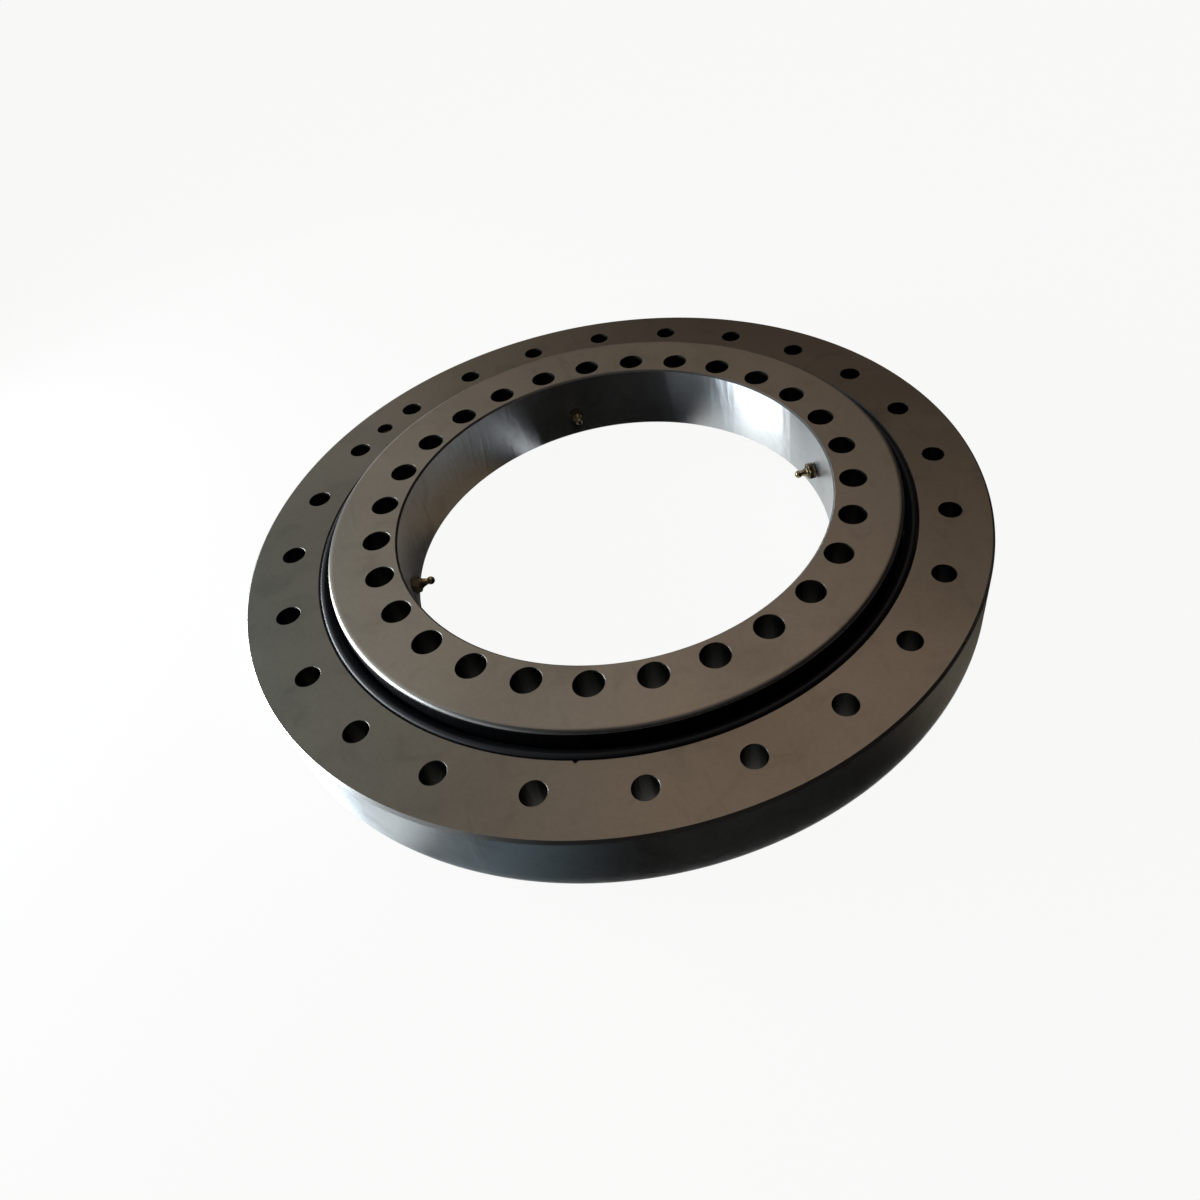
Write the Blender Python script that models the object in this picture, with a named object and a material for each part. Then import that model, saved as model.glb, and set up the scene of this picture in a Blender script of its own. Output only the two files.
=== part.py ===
"""Slewing ring bearing: two machined steel rings that turn on one caged row of balls.

The outer ring carries the upper seal and the plug through which the balls were filled.
The inner ring stands proud of it, and carries the lower seal and the grease nipples.
Metres, +Z up. Z is the bearing's axis, and the outer ring's lower face lies at Z = 0.
Run it with: blender --background --python part.py
"""

import math

import bmesh
import bpy
from mathutils import Matrix, Vector

MM = 0.001

# Ball row: every other place follows from the ball circle
BALL_COUNT = 32
BALL_DIAMETER = 30 * MM
BALL_CIRCLE = 474 * MM
BALL_CLEARANCE = 0.4 * MM

# Rings: a land is the plain strip between a raceway and the step for a seal
RING_GAP = 5.2 * MM
LAND_HEIGHT = 3.5 * MM
INNER_RING_LIFT = 5.5 * MM
INNER_RING_PROUD = 13.5 * MM
RIM_CHAMFER = 2.0 * MM
BORE_CHAMFER = 1.5 * MM
EDGE_CHAMFER = 1.0 * MM

# Bolt circles, and how far the inner ring is turned at rest
OUTER_BOLT_COUNT = 24
OUTER_BOLT_HOLE = 18 * MM
OUTER_LAND_TO_BOLTS = 30.4 * MM
OUTER_BOLTS_TO_RIM = 33 * MM
INNER_BOLT_COUNT = 28
INNER_BOLT_HOLE = 22 * MM
INNER_LAND_TO_BOLTS = 38.9 * MM
INNER_BOLTS_TO_BORE = 16.5 * MM
INNER_RING_TURN = math.radians(2.0)

# Cage
CAGE_CLEARANCE = 0.8 * MM
CAGE_END_CLEARANCE = 0.5 * MM
POCKET_CLEARANCE = 0.3 * MM

# Seals: each sits in a step of one ring and its lip runs against the other
SEAL_STEP_WIDTH = 5.6 * MM
SEAL_STEP_DEPTH = 6.0 * MM
SEAL_SINK = 1.2 * MM
SEAL_BODY_WIDTH = 3.1 * MM
SEAL_LIP_THICKNESS = 1.5 * MM
LIP_CLEARANCE = 0.5 * MM
SEAT_CLEARANCE = 0.3 * MM

# V nick in the outer ring's inside edge, where the seal is prised out
PRY_NICK_AZIMUTH = math.radians(245)
PRY_NICK_WIDTH = 8 * MM
PRY_NICK_REACH = 3 * MM
PRY_NICK_DEPTH = 3 * MM

# Filling plug and the taper pin that locks it
PLUG_MARGIN = 1.0 * MM  # how much wider than a ball the plug is, all round
PLUG_AZIMUTH = math.radians(127.5)
PIN_DIAMETER = 14 * MM
PIN_TAPER = 0.02
PIN_SINK = 5.5 * MM
PIN_FLOOR = 3 * MM

# Grease nipples
NIPPLE_COUNT = 4
NIPPLE_THREAD = 10 * MM
NIPPLE_THREAD_LENGTH = 7 * MM
NIPPLE_HEX = 13 * MM
NIPPLE_HEX_HEIGHT = 6 * MM
NIPPLE_NECK = 5.2 * MM
NIPPLE_NECK_LENGTH = 5.8 * MM
NIPPLE_HEAD = 6.7 * MM
NIPPLE_STANDOFF = 0.8 * MM
GREASE_DRILLING = 6 * MM

# Facets of the round surfaces
OUTER_RING_FACETS = 3 * OUTER_BOLT_COUNT
INNER_RING_FACETS = 2 * INNER_BOLT_COUNT
CAGE_FACETS = 2 * BALL_COUNT
RACEWAY_FACETS = 6
BOLT_HOLE_FACETS = 12
POCKET_FACETS = 8
PLUG_FACETS = 12
PORT_FACETS = 12
NIPPLE_FACETS = 6
OUTER_RING_FIRST_FACET = math.pi / OUTER_RING_FACETS  # so that each bolt hole lies inside one facet

# Places worked out from the sizes above
BALL_RADIUS = BALL_DIAMETER / 2
BALL_CIRCLE_RADIUS = BALL_CIRCLE / 2
BALL_HEIGHT = INNER_RING_LIFT + SEAL_STEP_DEPTH + LAND_HEIGHT + BALL_RADIUS
OUTER_LAND_RADIUS = BALL_CIRCLE_RADIUS + RING_GAP / 2
INNER_LAND_RADIUS = BALL_CIRCLE_RADIUS - RING_GAP / 2
OUTER_BOLT_RADIUS = OUTER_LAND_RADIUS + OUTER_LAND_TO_BOLTS
INNER_BOLT_RADIUS = INNER_LAND_RADIUS - INNER_LAND_TO_BOLTS
RIM_RADIUS = OUTER_BOLT_RADIUS + OUTER_BOLTS_TO_RIM
BORE_RADIUS = INNER_BOLT_RADIUS - INNER_BOLTS_TO_BORE
SEAL_STEP_RADIUS = OUTER_LAND_RADIUS + SEAL_STEP_WIDTH
SEAL_STEP_FLOOR = BALL_HEIGHT + BALL_RADIUS + LAND_HEIGHT
OUTER_RING_TOP = SEAL_STEP_FLOOR + SEAL_STEP_DEPTH
INNER_RING_TOP = OUTER_RING_TOP + INNER_RING_PROUD
PIN_TOP = OUTER_RING_TOP - PIN_SINK
NIPPLE_SEAT = BORE_RADIUS - NIPPLE_STANDOFF
OVERCUT = 2 * MM


def clear_scene():
    """Removes every object, so that the script gives the same scene each run."""
    for existing in list(bpy.data.objects):
        bpy.data.objects.remove(existing, do_unlink=True)


def material(name, colour, roughness, metallic):
    """A plain shader with one colour, one roughness and one metallic value."""
    made = bpy.data.materials.new(name)
    made.use_nodes = True
    shader = made.node_tree.nodes["Principled BSDF"]
    shader.inputs["Base Color"].default_value = (*colour, 1.0)
    shader.inputs["Roughness"].default_value = roughness
    shader.inputs["Metallic"].default_value = metallic
    return made


def add_object(name, mesh, parent=None):
    """Links a new object that holds this mesh."""
    made = bpy.data.objects.new(name, mesh)
    bpy.context.scene.collection.objects.link(made)
    made.parent = parent
    return made


def pivot(name, location=(0, 0, 0), turn=0.0, parent=None):
    """An empty whose Z axis is the axis that its children turn about."""
    made = add_object(name, None, parent)
    made.location = location
    made.rotation_euler.z = turn
    return made


def finish_mesh(bm, name, paint=None, smooth_angle=40):
    """Turns a bmesh into a mesh with outward faces, shaded smooth below the given angle."""
    bmesh.ops.recalc_face_normals(bm, faces=bm.faces)
    mesh = bpy.data.meshes.new(name)
    bm.to_mesh(mesh)
    bm.free()
    mesh.shade_smooth()
    mesh.set_sharp_from_angle(angle=math.radians(smooth_angle))
    if paint:
        mesh.materials.append(paint)
    return mesh


def turned_ring(name, section, facets, paint=None, first=0.0):
    """Turns a closed section of (radius, height) points about Z, with a facet's edge at azimuth first."""
    bm = bmesh.new()
    cos, sin = math.cos(first), math.sin(first)
    corners = [bm.verts.new((radius * cos, radius * sin, height)) for radius, height in section]
    sides = [bm.edges.new(pair) for pair in zip(corners, corners[1:] + corners[:1])]
    bmesh.ops.spin(
        bm,
        geom=corners + sides,
        cent=(0, 0, 0),
        axis=(0, 0, 1),
        angle=math.tau,
        steps=facets,
        use_merge=True,
    )
    return finish_mesh(bm, name, paint)


def place_cone(bm, start_radius, end_radius, start, end, facets, place):
    """Adds a capped cone along the local Z of place, with a flat and not an edge towards local X."""
    middle = Matrix.Translation((0, 0, (start + end) / 2))
    bmesh.ops.create_cone(
        bm,
        cap_ends=True,
        segments=facets,
        radius1=start_radius,
        radius2=end_radius,
        depth=end - start,
        matrix=place @ middle @ Matrix.Rotation(math.pi / facets, 4, "Z"),
    )


def upright_at(circle_radius, azimuth):
    """A frame whose Z is upright, standing on a circle about the bearing's axis."""
    return Matrix.Rotation(azimuth, 4, "Z") @ Matrix.Translation((circle_radius, 0, 0))


def outward_at(height, azimuth):
    """A frame on the bearing's axis whose Z points outwards and whose X points down."""
    lift = Matrix.Translation((0, 0, height))
    return lift @ Matrix.Rotation(azimuth, 4, "Z") @ Matrix.Rotation(math.pi / 2, 4, "Y")


def even_azimuths(count, first=0.0):
    """The azimuths of evenly spaced features."""
    return [first + index * math.tau / count for index in range(count)]


def cutter(name, bm, parent=None):
    """A hidden solid that a Boolean takes away from, or keeps of, another."""
    made = add_object(name, finish_mesh(bm, name), parent)
    made.hide_render = True
    made.display_type = "WIRE"
    return made


def combine(target, tool, operation="DIFFERENCE"):
    """Cuts the target with the tool, or keeps what the two share."""
    step = target.modifiers.new(tool.name, "BOOLEAN")
    step.operation = operation
    step.solver = "EXACT"
    step.object = tool


def race_points(side, land_radius):
    """One ring's raceway, from its upper edge to its lower one, as flats that touch the arc round a ball.

    The side is 1 for the outer ring's raceway and -1 for the inner ring's.
    """
    step = math.pi / RACEWAY_FACETS
    arc = BALL_RADIUS + BALL_CLEARANCE
    corner = arc / math.cos(step / 2)
    inner_corners = [math.pi / 2 - step * index for index in range(1, RACEWAY_FACETS)]
    points = [
        (BALL_CIRCLE_RADIUS + side * corner * math.cos(a), BALL_HEIGHT + corner * math.sin(a))
        for a in inner_corners
    ]
    # the outermost flats end where they meet the land
    last_flat = math.pi / 2 - step / 2
    offset = side * (land_radius - BALL_CIRCLE_RADIUS)
    edge = (arc - offset * math.cos(last_flat)) / math.sin(last_flat)
    upper = (land_radius, BALL_HEIGHT + edge)
    lower = (land_radius, BALL_HEIGHT - edge)
    return [upper, *points, lower]


def outer_section():
    """The outer ring's section, with the step for the upper seal in its upper inside edge."""
    return [
        (OUTER_LAND_RADIUS + EDGE_CHAMFER, 0),
        (RIM_RADIUS - RIM_CHAMFER, 0),
        (RIM_RADIUS, RIM_CHAMFER),
        (RIM_RADIUS, OUTER_RING_TOP - RIM_CHAMFER),
        (RIM_RADIUS - RIM_CHAMFER, OUTER_RING_TOP),
        (SEAL_STEP_RADIUS + EDGE_CHAMFER, OUTER_RING_TOP),
        (SEAL_STEP_RADIUS, OUTER_RING_TOP - EDGE_CHAMFER),
        (SEAL_STEP_RADIUS, SEAL_STEP_FLOOR),
        (OUTER_LAND_RADIUS, SEAL_STEP_FLOOR),
        *race_points(1, OUTER_LAND_RADIUS),
        (OUTER_LAND_RADIUS, EDGE_CHAMFER),
    ]


def point_mirrored(section):
    """The same section on the other ring: turned half a turn about the ball's centre."""
    return [(BALL_CIRCLE - radius, 2 * BALL_HEIGHT - height) for radius, height in section]


def inner_section():
    """The inner ring's section, with the step for the lower seal in its lower outside edge."""
    lower_step = point_mirrored(
        [
            (OUTER_LAND_RADIUS, SEAL_STEP_FLOOR),
            (SEAL_STEP_RADIUS, SEAL_STEP_FLOOR),
            (SEAL_STEP_RADIUS, OUTER_RING_TOP - EDGE_CHAMFER),
            (SEAL_STEP_RADIUS + EDGE_CHAMFER, OUTER_RING_TOP),
        ]
    )
    return [
        (BORE_RADIUS + BORE_CHAMFER, INNER_RING_LIFT),
        (BORE_RADIUS, INNER_RING_LIFT + BORE_CHAMFER),
        (BORE_RADIUS, INNER_RING_TOP - BORE_CHAMFER),
        (BORE_RADIUS + BORE_CHAMFER, INNER_RING_TOP),
        (INNER_LAND_RADIUS - RIM_CHAMFER, INNER_RING_TOP),
        (INNER_LAND_RADIUS, INNER_RING_TOP - RIM_CHAMFER),
        *race_points(-1, INNER_LAND_RADIUS),
        *lower_step,
    ]


def upper_seal_section():
    """The upper seal: a block in the outer ring's step, and a lip that falls towards the inner ring."""
    back = SEAL_STEP_RADIUS - SEAT_CLEARANCE
    floor = SEAL_STEP_FLOOR + SEAT_CLEARANCE
    top = OUTER_RING_TOP - SEAL_SINK
    lip = INNER_LAND_RADIUS + LIP_CLEARANCE
    return [
        (back, floor),
        (back, top),
        (back - SEAL_BODY_WIDTH, top),
        (lip, floor + SEAL_LIP_THICKNESS),
        (lip, floor),
    ]


def drill(target, name, azimuths, circle_radius, diameter, low, high):
    """Drills a circle of upright round holes through a ring."""
    bm = bmesh.new()
    for azimuth in azimuths:
        place = upright_at(circle_radius, azimuth)
        place_cone(bm, diameter / 2, diameter / 2, low, high, BOLT_HOLE_FACETS, place)
    combine(target, cutter(name, bm, target.parent))


def plug_cylinder(clearance=0.0):
    """The filling plug's round body, or the bore that it fits."""
    bm = bmesh.new()
    radius = BALL_RADIUS + PLUG_MARGIN + clearance
    place = outward_at(BALL_HEIGHT, PLUG_AZIMUTH)
    place_cone(bm, radius, radius, BALL_CIRCLE_RADIUS, RIM_RADIUS + OVERCUT, PLUG_FACETS, place)
    return bm


def pin_cone(low, high, clearance=0.0):
    """The taper pin between two heights, or the reamed hole that it fits."""
    bm = bmesh.new()
    radii = [PIN_DIAMETER / 2 + clearance - PIN_TAPER / 2 * (PIN_TOP - height) for height in (low, high)]
    place_cone(bm, *radii, low, high, BOLT_HOLE_FACETS, upright_at(OUTER_BOLT_RADIUS, PLUG_AZIMUTH))
    return bm


def nick_wedge():
    """A small V cut in the outer ring's inside edge, where the seal is prised out."""
    bm = bmesh.new()
    half = PRY_NICK_WIDTH / 2
    mouth = SEAL_STEP_RADIUS - OVERCUT
    tip = SEAL_STEP_RADIUS + EDGE_CHAMFER + PRY_NICK_REACH
    plan = [(mouth, -half), (tip, 0), (mouth, half)]
    low = OUTER_RING_TOP - PRY_NICK_DEPTH
    turn = Matrix.Rotation(PRY_NICK_AZIMUTH, 4, "Z")
    corners = [bm.verts.new(turn @ Vector((x, y, low))) for x, y in plan]
    floor = bm.faces.new(corners)
    walls = bmesh.ops.extrude_face_region(bm, geom=[floor])
    raised = [piece for piece in walls["geom"] if isinstance(piece, bmesh.types.BMVert)]
    bmesh.ops.translate(bm, verts=raised, vec=(0, 0, PRY_NICK_DEPTH + OVERCUT))
    return bm


def outer_ring_blank(name, steel):
    """The outer ring before it is drilled."""
    return turned_ring(name, outer_section(), OUTER_RING_FACETS, steel, OUTER_RING_FIRST_FACET)


def build_outer_ring(steel, parent):
    """The fixed ring: bolt holes, the filling bore, the pin's hole and the nick at the seal."""
    ring = add_object("outer_ring", outer_ring_blank("outer_ring", steel), parent)
    drill(
        ring,
        "outer_bolt_holes",
        even_azimuths(OUTER_BOLT_COUNT),
        OUTER_BOLT_RADIUS,
        OUTER_BOLT_HOLE,
        -OVERCUT,
        OUTER_RING_TOP + OVERCUT,
    )
    combine(ring, cutter("filling_bore", plug_cylinder(SEAT_CLEARANCE)))
    combine(ring, cutter("pin_hole", pin_cone(-OVERCUT, OUTER_RING_TOP + OVERCUT, SEAT_CLEARANCE)))
    combine(ring, cutter("pry_nick", nick_wedge()))


def build_filling_plug(steel, parent):
    """The plug closes the filling bore, so its ends follow the raceway and the rim."""
    plug = add_object("filling_plug", outer_ring_blank("filling_plug", steel), parent)
    combine(plug, cutter("plug_body", plug_cylinder()), "INTERSECT")
    combine(plug, bpy.data.objects["pin_hole"])


def build_taper_pin(steel, parent):
    """The pin that locks the plug, driven in below the ring's face."""
    bm = pin_cone(PIN_FLOOR, PIN_TOP)
    add_object("taper_pin", finish_mesh(bm, "taper_pin", steel), parent)


def port_azimuths():
    """The nipples stand midway between two bolt holes."""
    return even_azimuths(NIPPLE_COUNT, -math.pi / INNER_BOLT_COUNT)


def build_inner_ring(steel, parent):
    """The turning ring: bolt holes, and grease ports from the bore to the raceway."""
    mesh = turned_ring("inner_ring", inner_section(), INNER_RING_FACETS, steel)
    ring = add_object("inner_ring", mesh, parent)
    drill(
        ring,
        "inner_bolt_holes",
        even_azimuths(INNER_BOLT_COUNT),
        INNER_BOLT_RADIUS,
        INNER_BOLT_HOLE,
        INNER_RING_LIFT - OVERCUT,
        INNER_RING_TOP + OVERCUT,
    )
    tapping = NIPPLE_THREAD / 2 + SEAT_CLEARANCE
    tapped_end = BORE_RADIUS + NIPPLE_THREAD_LENGTH + SEAT_CLEARANCE
    drilling = GREASE_DRILLING / 2
    for name, radius, end in (
        ("tapped_ports", tapping, tapped_end),
        ("grease_drillings", drilling, BALL_CIRCLE_RADIUS),
    ):
        bm = bmesh.new()
        for azimuth in port_azimuths():
            place = outward_at(BALL_HEIGHT, azimuth)
            place_cone(bm, radius, radius, BORE_RADIUS - OVERCUT, end, PORT_FACETS, place)
        combine(ring, cutter(name, bm, parent))


def nipple_mesh(brass):
    """A grease nipple along Z: thread, hexagon, neck and head, all with the hexagon's facets."""
    hexagon = NIPPLE_HEX / math.sqrt(3)
    neck = NIPPLE_NECK / 2
    head = NIPPLE_HEAD / 2
    neck_end = NIPPLE_HEX_HEIGHT + NIPPLE_NECK_LENGTH
    profile = [
        (-NIPPLE_THREAD_LENGTH, NIPPLE_THREAD / 2),
        (0, NIPPLE_THREAD / 2),
        (0, hexagon),
        (NIPPLE_HEX_HEIGHT, hexagon),
        (NIPPLE_HEX_HEIGHT, NIPPLE_THREAD / 2),
        (neck_end, neck),
        (neck_end + head, head),
        (neck_end + 2 * head, neck / 2),
    ]
    bm = bmesh.new()
    line = [bm.verts.new((radius, 0, height)) for height, radius in profile]
    sides = [bm.edges.new(pair) for pair in zip(line, line[1:])]
    bmesh.ops.spin(
        bm,
        geom=line + sides,
        cent=(0, 0, 0),
        axis=(0, 0, 1),
        angle=math.tau,
        steps=NIPPLE_FACETS,
        use_merge=True,
    )
    open_rims = [edge for edge in bm.edges if edge.is_boundary]
    bmesh.ops.holes_fill(bm, edges=open_rims)
    return finish_mesh(bm, "grease_nipple", brass)


def build_nipples(brass, parent):
    """The nipples, screwed into the bore and pointing at the axis."""
    mesh = nipple_mesh(brass)
    for index, azimuth in enumerate(port_azimuths(), start=1):
        nipple = add_object(f"grease_nipple_{index}", mesh, parent)
        nipple.location = (NIPPLE_SEAT * math.cos(azimuth), NIPPLE_SEAT * math.sin(azimuth), BALL_HEIGHT)
        nipple.rotation_euler = (0, -math.pi / 2, azimuth)


def build_seals(rubber, outer_parent, inner_parent):
    """The upper seal rides on the outer ring and the lower one on the inner ring."""
    upper = upper_seal_section()
    mesh = turned_ring("upper_seal", upper, OUTER_RING_FACETS, rubber, OUTER_RING_FIRST_FACET)
    add_object("upper_seal", mesh, outer_parent)
    mesh = turned_ring("lower_seal", point_mirrored(upper), INNER_RING_FACETS, rubber)
    add_object("lower_seal", mesh, inner_parent)


def build_cage(steel, parent):
    """A strip between the rings with one round pocket for each ball."""
    inside = INNER_LAND_RADIUS + CAGE_CLEARANCE
    outside = OUTER_LAND_RADIUS - CAGE_CLEARANCE
    top = SEAL_STEP_FLOOR - CAGE_END_CLEARANCE
    bottom = 2 * BALL_HEIGHT - top
    section = [(inside, bottom), (outside, bottom), (outside, top), (inside, top)]
    cage = add_object("ball_cage", turned_ring("ball_cage", section, CAGE_FACETS, steel), parent)
    # the flats of a pocket clear the ball, and two of them are level
    pocket = (BALL_RADIUS + POCKET_CLEARANCE) / math.cos(math.pi / POCKET_FACETS)
    bm = bmesh.new()
    for azimuth in even_azimuths(BALL_COUNT):
        place = outward_at(BALL_HEIGHT, azimuth)
        place_cone(bm, pocket, pocket, inside - OVERCUT, outside + OVERCUT, POCKET_FACETS, place)
    combine(cage, cutter("ball_pockets", bm))


def build_balls(steel, parent):
    """One ball in each pocket, on its own empty, whose Z axis is the one it rolls about."""
    bm = bmesh.new()
    bmesh.ops.create_icosphere(bm, subdivisions=2, radius=BALL_RADIUS)
    mesh = finish_mesh(bm, "ball", steel)
    for index, azimuth in enumerate(even_azimuths(BALL_COUNT), start=1):
        place = (
            BALL_CIRCLE_RADIUS * math.cos(azimuth),
            BALL_CIRCLE_RADIUS * math.sin(azimuth),
            BALL_HEIGHT,
        )
        axle = pivot(f"ball_axis_{index:02d}", place, azimuth, parent)
        add_object(f"ball_{index:02d}", mesh, axle)


def main():
    """Builds every piece of the bearing."""
    clear_scene()
    ring_steel = material("ring_steel", (0.20, 0.175, 0.15), 0.38, 1.0)
    ball_steel = material("ball_steel", (0.62, 0.62, 0.63), 0.12, 1.0)
    cage_steel = material("cage_steel", (0.45, 0.44, 0.42), 0.4, 1.0)
    rubber = material("black_rubber", (0.012, 0.012, 0.014), 0.45, 0.0)
    brass = material("brass", (0.55, 0.38, 0.13), 0.32, 1.0)

    fixed = pivot("fixed_ring_axis")
    turning = pivot("turning_ring_axis", turn=INNER_RING_TURN)
    caged = pivot("cage_axis")
    build_outer_ring(ring_steel, fixed)
    build_filling_plug(ring_steel, fixed)
    build_taper_pin(ball_steel, fixed)
    build_inner_ring(ring_steel, turning)
    build_nipples(brass, turning)
    build_seals(rubber, fixed, turning)
    build_cage(cage_steel, caged)
    build_balls(ball_steel, caged)


main()
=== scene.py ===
"""A slewing ring bearing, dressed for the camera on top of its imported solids.

Two steel rings turn on one caged row of balls. Every ring, seal, ball and fitting is drawn
again here with round edges and its own finish, on the same sizes as the solid that it replaces.
Metres, +Z up, with the bearing's axis on Z and the outer ring's lower face at Z = 0.
"""

import logging
import math
from dataclasses import dataclass, field
from enum import Enum

import bmesh
import bpy
from mathutils import Matrix, Vector


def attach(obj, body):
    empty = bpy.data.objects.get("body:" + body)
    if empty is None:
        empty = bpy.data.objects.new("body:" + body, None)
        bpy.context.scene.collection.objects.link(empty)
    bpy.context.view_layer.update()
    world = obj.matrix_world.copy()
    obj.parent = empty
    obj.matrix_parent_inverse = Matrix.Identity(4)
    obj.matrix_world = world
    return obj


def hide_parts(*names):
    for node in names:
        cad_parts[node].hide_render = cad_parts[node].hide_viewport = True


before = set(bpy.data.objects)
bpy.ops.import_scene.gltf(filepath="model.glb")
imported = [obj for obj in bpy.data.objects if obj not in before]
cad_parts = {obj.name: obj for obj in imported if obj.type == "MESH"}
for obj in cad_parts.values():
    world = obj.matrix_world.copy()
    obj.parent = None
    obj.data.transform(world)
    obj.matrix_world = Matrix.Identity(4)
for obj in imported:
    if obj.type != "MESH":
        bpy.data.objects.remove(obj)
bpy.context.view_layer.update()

log = logging.getLogger("bearing")

MM = 0.001
# how far a tool's end stands past what it cuts
OVERCUT = 2 * MM
Colour = tuple[float, float, float]
Section = list[tuple[float, float]]


class Body(Enum):
    """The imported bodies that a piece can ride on."""

    FIXED = "fixed_ring"
    TURNING = "turning_ring"
    CAGE = "cage"


class Lay(Enum):
    """The way that the tool's marks run on a machined surface."""

    FACED = "faced"
    TURNED = "turned"
    DRILLED = "drilled"


class Tree:
    """A node tree that is filled by short calls."""

    def __init__(self, tree: bpy.types.NodeTree) -> None:
        """Starts from an empty tree.

        Args:
            tree: the tree of a material, a world or a Geometry Nodes group.
        """
        self.tree = tree
        tree.nodes.clear()

    def add(self, kind: str, values: dict | None = None, **settings: object) -> bpy.types.Node:
        """Adds a node.

        Args:
            kind: the node's type name.
            values: what each input holds or is joined to, by its name or number.
            settings: the node's own properties.

        Returns:
            The new node.
        """
        node = self.tree.nodes.new(kind)
        for name, value in settings.items():
            setattr(node, name, value)
        for key, value in (values or {}).items():
            self.feed(node.inputs[key], value)
        return node

    def feed(self, socket: bpy.types.NodeSocket, value: object) -> None:
        """Sets a socket, or joins it where the value is another socket.

        Args:
            socket: the input to fill.
            value: a number, a tuple, or the output that it is joined to.
        """
        if isinstance(value, bpy.types.NodeSocket):
            self.tree.links.new(value, socket)
        else:
            socket.default_value = value

    def math(self, operation: str, first: object, second: object = 0.0) -> bpy.types.NodeSocket:
        """One step of arithmetic on one or two numbers."""
        node = self.add("ShaderNodeMath", {0: first, 1: second}, operation=operation)
        return node.outputs[0]

    def ramp(self, value: object, low: float, high: float, first: float, last: float) -> bpy.types.NodeSocket:
        """Maps a range of values onto another, smoothly and with its ends held.

        Args:
            value: the value to map.
            low: where the range starts.
            high: where it ends.
            first: what its start becomes.
            last: what its end becomes.

        Returns:
            The mapped value.
        """
        node = self.add(
            "ShaderNodeMapRange",
            {"Value": value, "From Min": low, "From Max": high, "To Min": first, "To Max": last},
            interpolation_type="SMOOTHSTEP",
        )
        return node.outputs["Result"]

    def scaled(self, colour: object, share: object) -> bpy.types.NodeSocket:
        """A colour made lighter or darker."""
        return self.add("ShaderNodeVectorMath", {0: colour, "Scale": share}, operation="SCALE").outputs[0]

    def mix(self, share: object, first: object, second: object) -> bpy.types.NodeSocket:
        """Mixes two colours.

        Args:
            share: how much of the second colour shows.
            first: the first colour.
            second: the second colour.

        Returns:
            The mixed colour.
        """
        node = self.add("ShaderNodeMix", data_type="RGBA")
        for index, value in ((0, share), (6, first), (7, second)):
            self.feed(node.inputs[index], value)
        return node.outputs[2]


def rgba(colour: Colour) -> tuple[float, float, float, float]:
    """A colour with full cover."""
    return (*colour, 1.0)


class SurfaceNodes(Tree):
    """The shader of one finish, with the patterns that they all draw from."""

    def __init__(self, name: str) -> None:
        """Makes the material and reads the piece's own coordinates.

        Args:
            name: the material's name.
        """
        self.material = bpy.data.materials.new(name)
        self.material.use_nodes = True
        super().__init__(self.material.node_tree)
        self.place = self.add("ShaderNodeTexCoord").outputs["Object"]
        split = self.add("ShaderNodeSeparateXYZ", {0: self.place})
        self.x, self.y, self.z = split.outputs

    def radius(self) -> bpy.types.NodeSocket:
        """The distance from the bearing's axis."""
        flat = self.add("ShaderNodeCombineXYZ", {0: self.x, 1: self.y})
        return self.add("ShaderNodeVectorMath", {0: flat.outputs[0]}, operation="LENGTH").outputs["Value"]

    def noise(
        self,
        scale: float,
        detail: float = 2.0,
        stretch: tuple[float, float, float] = (1, 1, 1),
        bend: float = 0.0,
    ) -> bpy.types.NodeSocket:
        """Blotches of one size.

        Args:
            scale: how many blotches there are in about a metre.
            detail: how many finer layers they have.
            stretch: under 1 along an axis on which they are drawn out.
            bend: how far they are twisted.

        Returns:
            The blotches' value, from 0 to 1.
        """
        spot = self.add("ShaderNodeMapping", {"Vector": self.place, "Scale": stretch})
        values = {"Vector": spot.outputs[0], "Scale": scale, "Detail": detail, "Distortion": bend}
        return self.add("ShaderNodeTexNoise", values).outputs["Fac"]

    def grooves(self, along: object, per_metre: float) -> bpy.types.NodeSocket:
        """Fine uneven lines that follow one another along a distance.

        Args:
            along: the distance.
            per_metre: how close they lie.

        Returns:
            The lines' value, from 0 to 1.
        """
        run = self.math("MULTIPLY", along, per_metre)
        values = {"W": run, "Scale": 1.0, "Detail": 3.0, "Roughness": 0.7}
        return self.add("ShaderNodeTexNoise", values, noise_dimensions="1D").outputs["Fac"]

    def bump(
        self, height: object, depth: float, strength: float, below: object = None
    ) -> bpy.types.NodeSocket:
        """Dents of a real depth, on top of the ones that another call gave.

        Args:
            height: the dents' value, from 0 to 1.
            depth: how deep they are.
            strength: how much of them shows.
            below: the normal that another call gave.

        Returns:
            The surface's normal.
        """
        values = {"Height": height, "Distance": depth, "Strength": strength}
        if below is not None:
            values["Normal"] = below
        return self.add("ShaderNodeBump", values).outputs["Normal"]

    def close(self, values: dict) -> bpy.types.Material:
        """Joins the shader to the output.

        Args:
            values: what each of the shader's inputs holds or is joined to.

        Returns:
            The finished material.
        """
        return self.output(self.add("ShaderNodeBsdfPrincipled", values))

    def output(self, shader: bpy.types.Node) -> bpy.types.Material:
        """Ends the tree in a shader and gives the finished material."""
        self.add("ShaderNodeOutputMaterial", {"Surface": shader.outputs[0]})
        return self.material


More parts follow.
